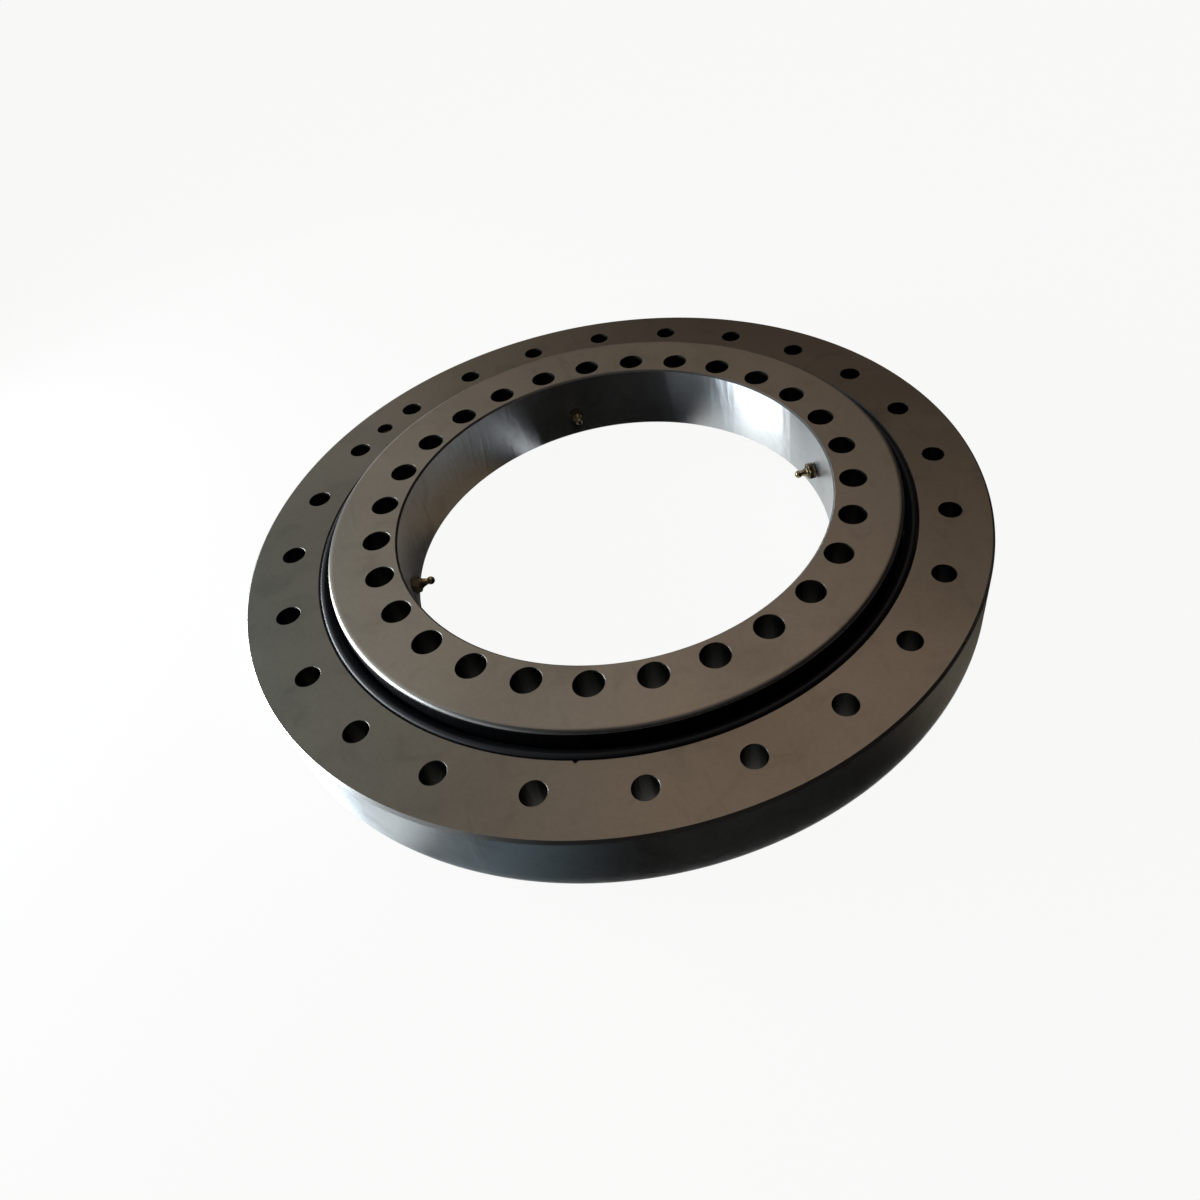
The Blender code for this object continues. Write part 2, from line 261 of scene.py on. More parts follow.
@dataclass(frozen=True)
class Steel:
    """Bare machined steel under a thin film of oil."""

    name: str
    lay: Lay
    colour: Colour
    patch: Colour
    roughness: float
    streak: float = 0.0

    def material(self) -> bpy.types.Material:
        """Builds the finish.

        Returns:
            A material with blotches of oil, tool marks and a slightly uneven surface.
        """
        nodes = SurfaceNodes(self.name)
        oil = nodes.ramp(nodes.noise(7.0, 4.0, bend=0.4), 0.35, 0.7, 0.0, 1.0)
        grain = nodes.noise(260.0, 3.0)
        if self.lay is Lay.FACED:
            marks = nodes.grooves(nodes.radius(), 1500.0)
            waves = nodes.noise(11.0, 2.0)
            deep, wavy = 0.02 * MM, 0.4 * MM
        elif self.lay is Lay.TURNED:
            marks = nodes.grooves(nodes.z, 2200.0)
            wrinkles = nodes.math("MULTIPLY", nodes.noise(150.0, 2.0, (1, 1, 0.14), 0.8), 0.26)
            waves = nodes.math("ADD", nodes.noise(42.0, 3.0, (1, 1, 0.22), 1.1), wrinkles)
            deep, wavy = 0.10 * MM, 1.3 * MM
        else:
            marks = nodes.grooves(nodes.z, 900.0)
            waves = nodes.noise(300.0, 2.0, (1, 1, 0.06))
            deep, wavy = 0.08 * MM, 1.2 * MM
        tone = nodes.mix(oil, rgba(self.colour), rgba(self.patch))
        smudge = nodes.ramp(nodes.noise(34.0, 5.0, bend=0.8), 0.50, 0.78, 0.0, 1.0)
        scuff = nodes.ramp(nodes.noise(90.0, 3.0, (1, 0.10, 1), 0.3), 0.62, 0.74, 0.0, 1.0)
        light = nodes.math("ADD", nodes.math("MULTIPLY", marks, 0.22), nodes.math("MULTIPLY", grain, 0.18))
        worn = nodes.math("ADD", nodes.math("MULTIPLY", smudge, 0.16), nodes.math("MULTIPLY", scuff, 0.10))
        light = nodes.math("SUBTRACT", nodes.math("ADD", light, 0.84), worn)
        shade = nodes.scaled(tone, light)
        rough = nodes.math("ADD", nodes.math("MULTIPLY", marks, 0.10), self.roughness - 0.05)
        normal = nodes.bump(marks, deep, 0.5, nodes.bump(waves, wavy, 0.35))
        values = {
            "Base Color": shade,
            "Metallic": 1.0,
            "Roughness": rough,
            "Normal": normal,
        }
        if self.streak:
            tangent = nodes.add("ShaderNodeTangent", direction_type="RADIAL", axis="Z")
            values["Anisotropic"] = self.streak
            values["Anisotropic Rotation"] = 0.25
            values["Tangent"] = tangent.outputs[0]
        return nodes.close(values)


@dataclass(frozen=True)
class Rubber:
    """Black seal rubber, wiped with grease so that it has a low sheen."""

    name: str = "seal_rubber"
    colour: Colour = (0.0045, 0.0047, 0.0055)
    dusty: Colour = (0.012, 0.012, 0.012)
    roughness: float = 0.50
    gloss: float = 0.18

    def material(self) -> bpy.types.Material:
        """Builds the finish.

        Returns:
            A material with a smeared gloss and a little dust.
        """
        nodes = SurfaceNodes(self.name)
        smear = nodes.noise(60.0, 3.0, (1, 1, 0.5))
        dust = nodes.ramp(nodes.noise(420.0, 2.0), 0.58, 0.8, 0.0, 0.25)
        tone = nodes.mix(dust, rgba(self.colour), rgba(self.dusty))
        rough = nodes.math("ADD", nodes.math("MULTIPLY", smear, 0.22), self.roughness - 0.11)
        normal = nodes.bump(smear, 0.3 * MM, 0.3)
        values = {"Base Color": tone, "Roughness": rough, "Specular IOR Level": self.gloss, "Normal": normal}
        return nodes.close(values)


@dataclass(frozen=True)
class Brass:
    """Turned brass that is darker and rougher nearer the bore's wall than on its head."""

    name: str = "nipple_brass"
    bright: Colour = (0.34, 0.27, 0.15)
    dull: Colour = (0.105, 0.084, 0.052)
    dull_from: float = 171 * MM

    def material(self) -> bpy.types.Material:
        """Builds the finish.

        Returns:
            A material that is bright on the head and dull on the hexagon, nearer the bore's wall.
        """
        nodes = SurfaceNodes(self.name)
        far = nodes.ramp(nodes.radius(), self.dull_from - 3 * MM, self.dull_from + 2 * MM, 0.15, 0.95)
        spots = nodes.ramp(nodes.noise(500.0, 3.0), 0.35, 0.7, -0.2, 0.35)
        share = nodes.add("ShaderNodeMath", {0: far, 1: spots}, operation="ADD", use_clamp=True).outputs[0]
        tone = nodes.mix(share, rgba(self.bright), rgba(self.dull))
        rough = nodes.ramp(share, 0.0, 1.0, 0.34, 0.48)
        normal = nodes.bump(nodes.noise(900.0, 2.0), 0.1 * MM, 0.3)
        return nodes.close({"Base Color": tone, "Metallic": 1.0, "Roughness": rough, "Normal": normal})


class Finishes:
    """Every finish of the bearing, each made once."""

    def __init__(self) -> None:
        """Builds the materials: each steel's colour, the colour of its oily patches and its roughness."""
        faced, turned, drilled = Lay.FACED, Lay.TURNED, Lay.DRILLED
        face = Steel("ground_face", faced, (0.140, 0.116, 0.087), (0.118, 0.098, 0.073), 0.37)
        # Painted light: the inner ring's face is a lighter, rougher copy of the outer ring's ground steel, so
        # that it reads brighter than the outer face.
        inner_face = Steel("inner_face", faced, (0.220, 0.183, 0.139), (0.190, 0.159, 0.121), 0.48)
        wall = Steel("turned_wall", turned, (0.58, 0.58, 0.58), (0.52, 0.52, 0.52), 0.31, streak=1.0)
        # Painted shade: near-black steel on the lands beside the seals and the raceway, in the groove between
        # the rings where shade falls.
        land = Steel("greased_land", drilled, (0.012, 0.012, 0.014), (0.008, 0.008, 0.010), 0.42)
        edge = Steel("broken_edge", faced, (0.17, 0.16, 0.15), (0.14, 0.13, 0.12), 0.36)
        # Painted shade: the bolt holes, ports and hole chamfers get steel far darker than the faces, which
        # darkens the recesses and dims the chamfers' glints.
        hole = Steel("drilled_hole", drilled, (0.045, 0.042, 0.038), (0.03, 0.028, 0.025), 0.42)
        race = Steel("hardened_raceway", turned, (0.50, 0.50, 0.51), (0.44, 0.44, 0.45), 0.22)
        ball = Steel("ball_steel", faced, (0.62, 0.62, 0.63), (0.58, 0.58, 0.59), 0.12)
        cage = Steel("cage_strip", turned, (0.42, 0.41, 0.39), (0.36, 0.35, 0.33), 0.38)
        pin = Steel("pin_steel", faced, (0.10, 0.09, 0.078), (0.07, 0.062, 0.05), 0.40)
        self.face, self.inner_face = face.material(), inner_face.material()
        self.wall, self.land, self.edge = wall.material(), land.material(), edge.material()
        self.hole, self.race, self.ball = hole.material(), race.material(), ball.material()
        self.cage, self.pin = cage.material(), pin.material()
        self.rubber = Rubber().material()
        self.brass = Brass().material()


@dataclass
class Layout:
    """The bearing's own sizes, as its drawing would give them."""

    outer_holes: int = 24
    inner_holes: int = 28
    ports: int = 4
    ball_count: int = 32
    ball_radius: float = 15 * MM
    ball_circle: float = 237 * MM
    race_radius: float = 15.4 * MM
    race_depth: float = 14 * MM
    middle: float = 30 * MM
    outer_top: float = 54.5 * MM
    inner_bottom: float = 5.5 * MM
    inner_top: float = 68 * MM
    rim: float = 302.7 * MM
    bore: float = 179 * MM
    outer_land: float = 239.6 * MM
    inner_land: float = 234.4 * MM
    step: float = 245.2 * MM
    step_depth: float = 6 * MM
    rim_chamfer: float = 2 * MM
    bore_chamfer: float = 1.5 * MM
    edge_chamfer: float = 1 * MM
    rest_turn: float = math.radians(2)
    plug_azimuth: float = math.radians(127.5)
    plug_radius: float = 16 * MM

    def first_port(self) -> float:
        """The first grease port's azimuth, midway between two of the inner ring's bolt holes."""
        return self.rest_turn - math.pi / self.inner_holes


def turned_mesh(name: str, section: Section, steps: int) -> bpy.types.Mesh:
    """Turns a closed section about the bearing's axis.

    Args:
        name: the mesh's name.
        section: (radius, height) points in order round the section.
        steps: how many facets make the turn.

    Returns:
        A closed mesh whose faces point outwards.
    """
    count = len(section)
    points = [
        (radius * math.cos(turn), radius * math.sin(turn), height)
        for turn in (math.tau * step / steps for step in range(steps))
        for radius, height in section
    ]
    faces = []
    for step in range(steps):
        here, there = step * count, (step + 1) % steps * count
        for low in range(count):
            high = (low + 1) % count
            faces.append((here + low, there + low, there + high, here + high))
    mesh = bpy.data.meshes.new(name)
    mesh.from_pydata(points, [], faces)
    return outward(mesh)


def outward(mesh: bpy.types.Mesh) -> bpy.types.Mesh:
    """Points a closed mesh's faces outwards.

    Args:
        mesh: the mesh to put right.

    Returns:
        The same mesh.
    """
    bm = bmesh.new()
    bm.from_mesh(mesh)
    bmesh.ops.recalc_face_normals(bm, faces=bm.faces)
    bm.to_mesh(mesh)
    bm.free()
    return mesh


def weld(mesh: bpy.types.Mesh, reach: float = 0.001 * MM) -> None:
    """Merges the points that meet, as on a turned mesh's own axis or along a cut.

    Args:
        mesh: the mesh to close.
        reach: how near to one another points meet.
    """
    bm = bmesh.new()
    bm.from_mesh(mesh)
    bmesh.ops.remove_doubles(bm, verts=bm.verts, dist=reach)
    bmesh.ops.dissolve_degenerate(bm, edges=bm.edges, dist=reach)
    bmesh.ops.delete(bm, geom=[edge for edge in bm.edges if edge.is_wire], context="EDGES")
    bm.to_mesh(mesh)
    bm.free()


def turned_solid(name: str, section: Section, steps: int, place: Matrix = Matrix()) -> bpy.types.Mesh:
    """Turns a section that starts and ends on the axis, closes it there and puts it in place.

    Args:
        name: the mesh's name.
        section: (radius, height) points from one end of the axis to the other.
        steps: how many facets make the turn.
        place: where the solid stands.

    Returns:
        A closed mesh whose faces point outwards.
    """
    mesh = turned_mesh(name, section, steps)
    weld(mesh)
    mesh.transform(place)
    return outward(mesh)


def lying_outwards(azimuth: float, height: float) -> Matrix:
    """The placement that lays a shape's own Z axis outwards from the bearing's axis."""
    turn = Matrix.Rotation(azimuth, 4, "Z") @ Matrix.Rotation(math.pi / 2, 4, "Y")
    return Matrix.Translation((0, 0, height)) @ turn


def rounded(section: Section, corner: int, size: float, steps: int = 3) -> Section:
    """Rounds one corner of a section.

    Args:
        section: the section's points.
        corner: which point to round.
        size: how far the rounding reaches along both sides.
        steps: how many lines make it.

    Returns:
        The section with the corner's point replaced by an arc.
    """
    here = Vector(section[corner])
    start = here + (Vector(section[corner - 1]) - here).normalized() * size
    end = here + (Vector(section[(corner + 1) % len(section)]) - here).normalized() * size
    arc = []
    for step in range(steps + 1):
        t = step / steps
        arc.append(tuple(start * (1 - t) ** 2 + here * 2 * t * (1 - t) + end * t**2))
    return section[:corner] + arc + section[corner + 1 :]


def polar(radius: float, azimuth: float, height: float = 0.0) -> Vector:
    """The point at a radius and azimuth about the bearing's axis."""
    return Vector((radius * math.cos(azimuth), radius * math.sin(azimuth), height))


def arc_points(centre: tuple[float, float], radius: float, start: float, end: float, steps: int) -> Section:
    """Points along a circular arc in a section.

    Args:
        centre: (radius, height) of the arc's centre.
        radius: the arc's own radius.
        start: the first point's angle from the radial direction.
        end: the last point's angle.
        steps: how many lines make the arc.

    Returns:
        The points in order, both ends included.
    """
    turns = (start + (end - start) * step / steps for step in range(steps + 1))
    return [(centre[0] + radius * math.cos(turn), centre[1] + radius * math.sin(turn)) for turn in turns]


def shade(mesh: bpy.types.Mesh, angle: float = 28) -> None:
    """Shades a mesh smooth, with sharp edges round its level faces and at its corners.

    Args:
        mesh: the mesh to shade.
        angle: the bend in degrees from which an edge is a corner.
    """
    mesh.shade_smooth()
    mesh.set_sharp_from_angle(angle=math.radians(angle))
    bm = bmesh.new()
    bm.from_mesh(mesh)
    for edge in bm.edges:
        level = {abs(face.normal.z) > 0.9999 for face in edge.link_faces}
        edge.smooth = edge.smooth and len(level) == 1
    bm.to_mesh(mesh)
    bm.free()


def place_piece(name: str, mesh: bpy.types.Mesh) -> bpy.types.Object:
    """Links a mesh as an object at the origin.

    Args:
        name: the piece's name.
        mesh: its mesh, already in place.

    Returns:
        The new object.
    """
    piece = bpy.data.objects.new(name, mesh)
    bpy.context.scene.collection.objects.link(piece)
    return piece


def seat_piece(piece: bpy.types.Object, body: Body | str, slot: str, *nodes: str) -> None:
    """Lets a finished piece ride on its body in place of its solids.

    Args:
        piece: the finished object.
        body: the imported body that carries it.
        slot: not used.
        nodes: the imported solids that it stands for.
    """
    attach(piece, body.value if isinstance(body, Body) else body)
    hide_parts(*nodes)
    log.info("%s: %d faces", piece.name, len(piece.data.polygons))


def baked(piece: bpy.types.Object) -> bpy.types.Object:
    """Turns a piece's modifiers into a plain mesh.

    Args:
        piece: an object with live modifiers.

    Returns:
        The same object with the evaluated mesh and no modifier.
    """
    bpy.context.view_layer.update()
    graph = bpy.context.evaluated_depsgraph_get()
    seen = piece.evaluated_get(graph)
    mesh = bpy.data.meshes.new_from_object(seen, preserve_all_data_layers=True, depsgraph=graph)
    piece.modifiers.clear()
    piece.data = mesh
    return piece


def carved(
    piece: bpy.types.Object, tools: list[bpy.types.Mesh], operation: str = "DIFFERENCE"
) -> bpy.types.Object:
    """Cuts a piece with closed meshes, or keeps what they share.

    Args:
        piece: the object to cut.
        tools: the closed meshes, already in place.
        operation: the Boolean modifier's operation.

    Returns:
        The same object with the result as its mesh.
    """
    helpers = []
    for mesh in tools:
        helper = place_piece(f"{mesh.name}_tool", mesh)
        step = piece.modifiers.new(mesh.name, "BOOLEAN")
        step.operation, step.solver, step.object = operation, "EXACT", helper
        helpers.append(helper)
    baked(piece)
    for helper in helpers:
        bpy.data.objects.remove(helper, do_unlink=True)
    return piece


class GeometryTree(Tree):
    """A Geometry Nodes group with named inputs, which ends in plain dressed geometry."""

    def __init__(self, name: str, inputs: dict[str, str]) -> None:
        """Makes the group and its sockets.

        Args:
            name: the group's name.
            inputs: each input's name and socket type.
        """
        group = bpy.data.node_groups.new(name, "GeometryNodeTree")
        super().__init__(group)
        group.interface.new_socket("Geometry", in_out="INPUT", socket_type="NodeSocketGeometry")
        for label, kind in inputs.items():
            group.interface.new_socket(label, in_out="INPUT", socket_type=kind)
        group.interface.new_socket("Geometry", in_out="OUTPUT", socket_type="NodeSocketGeometry")
        self.inputs = self.add("NodeGroupInput").outputs

    def circle(self, count: object, radius: object, turn: object, height: object) -> bpy.types.NodeSocket:
        """Points that are spread evenly on a level circle about the axis.

        Args:
            count: how many points.
            radius: the circle's radius.
            turn: the first point's azimuth.
            height: the circle's height.

        Returns:
            The points' geometry.
        """
        ring = self.add("GeometryNodeMeshCircle", {"Vertices": count, "Radius": radius})
        spin = self.add("ShaderNodeCombineXYZ", {2: turn})
        lift = self.add("ShaderNodeCombineXYZ", {2: height})
        values = {"Geometry": ring.outputs[0], "Rotation": spin.outputs[0], "Translation": lift.outputs[0]}
        return self.add("GeometryNodeTransform", values).outputs[0]

    def facing(self) -> bpy.types.NodeSocket:
        """Reads each point's azimuth.

        Returns:
            The turn of each point that brings an instance's X axis outwards.
        """
        spot = self.add("GeometryNodeInputPosition")
        split = self.add("ShaderNodeSeparateXYZ", {0: spot.outputs[0]})
        azimuth = self.math("ARCTAN2", split.outputs[1], split.outputs[0])
        return self.add("ShaderNodeCombineXYZ", {2: azimuth}).outputs[0]

    def instances(self, points: object, shape: object) -> bpy.types.NodeSocket:
        """One copy of a shape on each point, each turned outwards."""
        values = {"Points": points, "Instance": shape, "Rotation": self.facing()}
        return self.add("GeometryNodeInstanceOnPoints", values).outputs[0]

    def cut(self, target: object, *tools: object) -> bpy.types.NodeSocket:
        """Takes closed shapes away from another.

        Args:
            target: the shape to cut.
            tools: the shapes that cut it.

        Returns:
            What is left of the target.
        """
        node = self.add("GeometryNodeMeshBoolean", {"Mesh 1": target}, operation="DIFFERENCE", solver="EXACT")
        for tool in tools:
            self.tree.links.new(tool, node.inputs["Mesh 2"])
        return node.outputs[0]

    def drum(self, radius: object, depth: object, facets: int) -> bpy.types.NodeSocket:
        """A closed cylinder about Z that rises from the level of its origin."""
        values = {"Vertices": facets, "Radius Top": radius, "Radius Bottom": radius, "Depth": depth}
        return self.add("GeometryNodeMeshCone", values).outputs["Mesh"]

    def close(self, geometry: object, material: object) -> None:
        """Ends the group in realized geometry with its material.

        Args:
            geometry: the geometry that the group gives.
            material: the input that holds the material, for what has none yet.
        """
        whole = self.add("GeometryNodeRealizeInstances", {"Geometry": geometry})
        dressed = self.add("GeometryNodeSetMaterial", {"Geometry": whole.outputs[0], "Material": material})
        self.add("NodeGroupOutput", {0: dressed.outputs[0]})

    def apply(self, piece: bpy.types.Object, values: dict[str, object]) -> bpy.types.Object:
        """Runs the group on an object and keeps the result as its mesh.

        Args:
            piece: the object that the group's Geometry input reads.
            values: each named input's value.

        Returns:
            The same object with its new mesh.
        """
        modifier = piece.modifiers.new(self.tree.name, "NODES")
        modifier.node_group = self.tree
        sockets = {item.name: item for item in self.tree.interface.items_tree if item.in_out == "INPUT"}
        for label, value in values.items():
            modifier[sockets[label].identifier] = value
        return baked(piece)


class DrilledRing(GeometryTree):
    """Geometry Nodes that drill a circle of through holes in a ring."""

    def __init__(self) -> None:
        """Builds the tree: one cut by as many drills as the ring has holes."""
        super().__init__(
            "drilled_ring",
            {
                "Holes": "NodeSocketInt",
                "Circle": "NodeSocketFloat",
                "First": "NodeSocketFloat",
                "Drill": "NodeSocketObject",
                "Steel": "NodeSocketMaterial",
            },
        )
        given = self.inputs
        drill = self.add("GeometryNodeObjectInfo", {"Object": given["Drill"]}).outputs["Geometry"]
        points = self.circle(given["Holes"], given["Circle"], given["First"], 0.0)
        tools = self.add("GeometryNodeRealizeInstances", {0: self.instances(points, drill)}).outputs[0]
        self.close(self.cut(given["Geometry"], tools), given["Steel"])


class Skin(Enum):
    """Where a machined ring's finishes lie, as the number of its material slot."""

    FACE = 0
    WALL = 1
    EDGE = 2
    HOLE = 3
    RACE = 4
    LAND = 5


@dataclass
class MachinedRing:
    """What both rings share: a turned blank, a circle of bolt holes and finishes by surface."""

    layout: Layout
    finishes: Finishes
    facets: int
    holes: int
    circle: float
    hole: float
    hole_chamfer: float
    first: float
    low: float
    high: float
    wall: float
    lands: tuple[float, ...]
    race: tuple[float, float]
    face: bpy.types.Material
    drill_facets: int = 48
    drill_spare: float = 1 * MM
    race_steps: int = 24
    near: float = 0.4 * MM
    level: float = 0.95
    slanted: float = 0.3
    upright: float = 0.97

    def blank(self, name: str, section: Section) -> bpy.types.Object:
        """Turns the ring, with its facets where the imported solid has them.

        Args:
            name: the ring's name.
            section: its section.

        Returns:
            The ring before it is drilled.
        """
        mesh = turned_mesh(name, section, self.facets)
        mesh.transform(Matrix.Rotation(math.pi / self.facets, 4, "Z"))
        return place_piece(name, mesh)

    def drill(self) -> bpy.types.Object:
        """Turns the drill.

        Returns:
            One bolt hole as a closed tool, with its chamfers at both faces.
        """
        wide = self.hole + self.hole_chamfer + self.drill_spare
        below, above = self.low - self.drill_spare, self.high + self.drill_spare
        section = [
            (0, below),
            (wide, below),
            (self.hole, self.low + self.hole_chamfer),
            (self.hole, self.high - self.hole_chamfer),
            (wide, above),
            (0, above),
        ]
        return place_piece("drill", turned_solid("drill", section, self.drill_facets))

    def drilled(self, ring: bpy.types.Object, tree: DrilledRing) -> bpy.types.Object:
        """Drills the bolt holes.

        Args:
            ring: the turned blank.
            tree: the Geometry Nodes that drill.

        Returns:
            The drilled ring.
        """
        drill = self.drill()
        values = {
            "Holes": self.holes,
            "Circle": self.circle,
            "First": self.first,
            "Drill": drill,
            "Steel": self.face,
        }
        tree.apply(ring, values)
        bpy.data.objects.remove(drill, do_unlink=True)
        return ring

    def skin(self, centre: Vector, normal: Vector) -> Skin:
        """The finish of one face.

        Args:
            centre: the face's middle.
            normal: its outward direction.

        Returns:
            The finish's slot.
        """
        out = centre.to_2d().length
        rise = abs(normal.z)
        across = abs(normal.to_2d().dot(centre.to_2d())) / out
        near_race = abs(centre.z - self.layout.middle) < self.layout.race_radius
        if near_race and self.race[0] < out < self.race[1] and math.hypot(rise, across) > self.level:
            return Skin.RACE
        if rise > self.level:
            return Skin.FACE
        if rise > self.slanted:
            # hole chamfers take the darkened hole steel, a painted shade that dims their glints
            return Skin.HOLE if abs(out - self.circle) < self.hole + self.hole_chamfer else Skin.EDGE
        if across > self.upright and abs(out - self.wall) < self.near:
            return Skin.WALL
        # the lands between the rings take the painted-shade steel
        if across > self.upright and any(abs(out - land) < self.near for land in self.lands):
            return Skin.LAND
        return Skin.HOLE

    def dress(self, ring: bpy.types.Object) -> None:
        """Gives each face of the ring its own finish.

        Args:
            ring: the finished mesh's object.
        """
        mesh = ring.data
        weld(mesh)
        finishes = self.finishes
        mesh.materials.clear()
        for steel in (self.face, finishes.wall, finishes.edge, finishes.hole, finishes.race, finishes.land):
            mesh.materials.append(steel)
        for polygon in mesh.polygons:
            polygon.material_index = self.skin(polygon.center, polygon.normal).value
        shade(mesh)


@dataclass
class OuterRing(MachinedRing):
    """The fixed ring, with the filling plug and the taper pin that locks it."""

    nick_azimuth: float = math.radians(245)
    nick_width: float = 8 * MM
    nick_reach: float = 4 * MM
    nick_depth: float = 3 * MM
    pin_radius: float = 7 * MM
    pin_taper: float = 0.02
    pin_top: float = 49 * MM
    pin_floor: float = 3 * MM
    pin_chamfer: float = 0.8 * MM
    clearance: float = 0.3 * MM
    plug_facets: int = 72
    pin_facets: int = 60

    def section(self) -> Section:
        """Draws the ring's section.

        Returns:
            The section, with the step for the upper seal in its upper inside edge.
        """
        size = self.layout
        reach = math.acos((self.race[0] - size.ball_circle) / size.race_radius)
        race = arc_points((size.ball_circle, size.middle), size.race_radius, reach, -reach, self.race_steps)
        edge, rim = size.edge_chamfer, size.rim_chamfer
        return [
            (size.outer_land + edge, 0),
            (size.rim - rim, 0),
            (size.rim, rim),
            (size.rim, self.high - rim),
            (size.rim - rim, self.high),
            (size.step + edge, self.high),
            (size.step, self.high - edge),
            (size.step, self.high - size.step_depth),
            (size.outer_land, self.high - size.step_depth),
            *race,
            (size.outer_land, edge),
        ]

    def nick(self) -> bpy.types.Mesh:
        """Makes the tool that cuts the V nick, where the seal is prised out.

        Returns:
            A small wedge across the ring's upper inside edge.
        """
        half = self.nick_width / 2
        mouth = self.layout.step - OVERCUT
        plan = [(mouth, -half), (self.layout.step + self.nick_reach, 0), (mouth, half)]
        levels = (self.high - self.nick_depth, self.high + OVERCUT)
        points = [(x, y, z) for z in levels for x, y in plan]
        faces = [(0, 1, 2), (3, 4, 5), (0, 1, 4, 3), (1, 2, 5, 4), (2, 0, 3, 5)]
        mesh = bpy.data.meshes.new("nick")
        mesh.from_pydata(points, [], faces)
        mesh.transform(Matrix.Rotation(self.nick_azimuth, 4, "Z"))
        return outward(mesh)

    def plug_drum(self, name: str, radius: float) -> bpy.types.Mesh:
        """Makes the plug's round body, or its bore.

        Args:
            name: the mesh's name.
            radius: the body's or the bore's radius.

        Returns:
            A closed mesh in place, from the ball circle out past the rim.
        """
        low, high = self.layout.ball_circle, self.layout.rim + OVERCUT
        section = [(0, low), (radius, low), (radius, high), (0, high)]
        place = lying_outwards(self.layout.plug_azimuth, self.layout.middle)
        return turned_solid(name, section, self.plug_facets, place)

    def pin_cone(
        self, name: str, low: float, high: float, spare: float = 0.0, chamfer: float = 0.0
    ) -> bpy.types.Mesh:
        """The taper pin between two heights, or its reamed hole.

        Args:
            name: the mesh's name.
            low: the lower end's height.
            high: the upper end's height.
            spare: how much wider it is than the pin.
            chamfer: how far its ends' edges are broken.

        Returns:
            A closed mesh in place.
        """

        def wide(height: float) -> float:
            """The radius at a height."""
            return self.pin_radius + spare - self.pin_taper / 2 * (self.pin_top - height)

        section = [(0, low), (wide(low) - chamfer, low), (wide(low), low + chamfer)]
        section += [(wide(high), high - chamfer), (wide(high) - chamfer, high), (0, high)]
        if not chamfer:
            section = [(0, low), (wide(low), low), (wide(high), high), (0, high)]
        place = Matrix.Translation(polar(self.circle, self.layout.plug_azimuth))
        return turned_solid(name, section, self.pin_facets, place)

    def build(self, tree: DrilledRing) -> None:
        """Makes the ring, its plug and its pin.

        Args:
            tree: the Geometry Nodes that drill.
        """
        ring = self.drilled(self.blank("outer_ring_body", self.section()), tree)
        reamed = self.pin_cone("reamed", -OVERCUT, self.high + OVERCUT, self.clearance)
        bore = self.plug_drum("filling_bore", self.layout.plug_radius + self.clearance)
        carved(ring, [bore, reamed, self.nick()])
        self.dress(ring)
        seat_piece(ring, Body.FIXED, "ring_steel", "outer_ring")

        plug = self.blank("filling_plug_body", self.section())
        carved(plug, [self.pin_cone("plug_reamed", -OVERCUT, self.high + OVERCUT, self.clearance)])
        carved(plug, [self.plug_drum("plug_body", self.layout.plug_radius)], "INTERSECT")
        self.dress(plug)
        seat_piece(plug, Body.FIXED, "ring_steel", "filling_plug")

        cone = self.pin_cone("pin", self.pin_floor, self.pin_top, chamfer=self.pin_chamfer)
        pin = place_piece("taper_pin_body", cone)
        pin.data.materials.append(self.finishes.pin)
        shade(pin.data)
        seat_piece(pin, Body.FIXED, "ball_steel", "taper_pin")


@dataclass
class InnerRing(MachinedRing):
    """The turning ring, with its four tapped grease ports."""

    port_radius: float = 5.3 * MM
    port_depth: float = 7.3 * MM
    drilling_radius: float = 3 * MM
    rim_round: float = 4.7 * MM
    rim_steps: int = 8
    port_facets: int = 32

    def section(self) -> Section:
        """Draws the ring's section.

        Returns:
            The section, with the step for the lower seal in its lower outside edge.
        """
        size = self.layout
        reach = math.acos((size.ball_circle - self.race[1]) / size.race_radius)
        middle = (size.ball_circle, size.middle)
        race = arc_points(middle, size.race_radius, math.pi - reach, math.pi + reach, self.race_steps)
        inner_step = 2 * size.ball_circle - size.step
        step_roof = self.low + size.step_depth
        edge, bore = size.edge_chamfer, size.bore_chamfer
        section = [
            (size.bore + bore, self.low),
            (size.bore, self.low + bore),
            (size.bore, self.high - bore),
            (size.bore + bore, self.high),
            (size.inner_land, self.high),
            *race,
            (size.inner_land, step_roof),
            (inner_step, step_roof),
            (inner_step, self.low + edge),
            (inner_step - edge, self.low),
        ]
        return rounded(section, 4, self.rim_round, self.rim_steps)

    def port_azimuths(self) -> list[float]:
        """Where the ports lie round the ring."""
        first, count = self.layout.first_port(), self.layout.ports
        return [first + index * math.tau / count for index in range(count)]

    def port(self, name: str, radius: float, end: float, azimuth: float) -> bpy.types.Mesh:
        """Makes the tool for a round hole from the bore outwards.

        Args:
            name: the mesh's name.
            radius: the hole's radius.
            end: how far from the axis it ends.
            azimuth: where it lies round the ring.

        Returns:
            A closed mesh in place.
        """
        start = self.layout.bore - OVERCUT
        section = [(0, start), (radius, start), (radius, end), (0, end)]
        return turned_solid(name, section, self.port_facets, lying_outwards(azimuth, self.layout.middle))

    def build(self, tree: DrilledRing) -> None:
        """Makes the ring.

        Args:
            tree: the Geometry Nodes that drill.
        """
        ring = self.drilled(self.blank("inner_ring_body", self.section()), tree)
        tools = []
        for index, azimuth in enumerate(self.port_azimuths(), start=1):
            tapped, drilled = self.layout.bore + self.port_depth, self.layout.ball_circle
            tools.append(self.port(f"tapping_{index}", self.port_radius, tapped, azimuth))
            tools.append(self.port(f"drilling_{index}", self.drilling_radius, drilled, azimuth))
        carved(ring, tools)
        self.dress(ring)
        seat_piece(ring, Body.TURNING, "ring_steel", "inner_ring")


